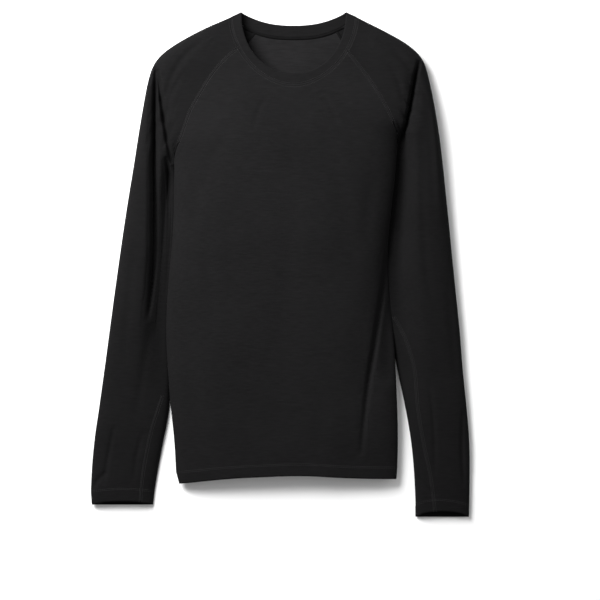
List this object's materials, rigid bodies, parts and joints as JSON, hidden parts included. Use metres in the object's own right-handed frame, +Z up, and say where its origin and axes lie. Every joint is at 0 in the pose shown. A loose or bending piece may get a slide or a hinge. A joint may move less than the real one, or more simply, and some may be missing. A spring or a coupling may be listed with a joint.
{
  "type": "base layer top",
  "caption": "Men's long-sleeved crew-neck base layer top in near-black jersey with raglan sleeves, lying on its back.",
  "frame": {"origin": "middle of the underside, where the top lies on a surface", "axes": "+Y from the hem towards the neck, +Z up from the surface, +X towards the wearer's left"},
  "size_m": [0.5922, 0.7886, 0.0452],
  "materials": {
    "jersey": "matte",
    "rib": "matte"
  },
  "bodies": {
    "root": {"front": "jersey", "back": "jersey", "sleeve_right": "jersey", "sleeve_left": "jersey", "neckband": "rib"}
  },
  "joints": []
}
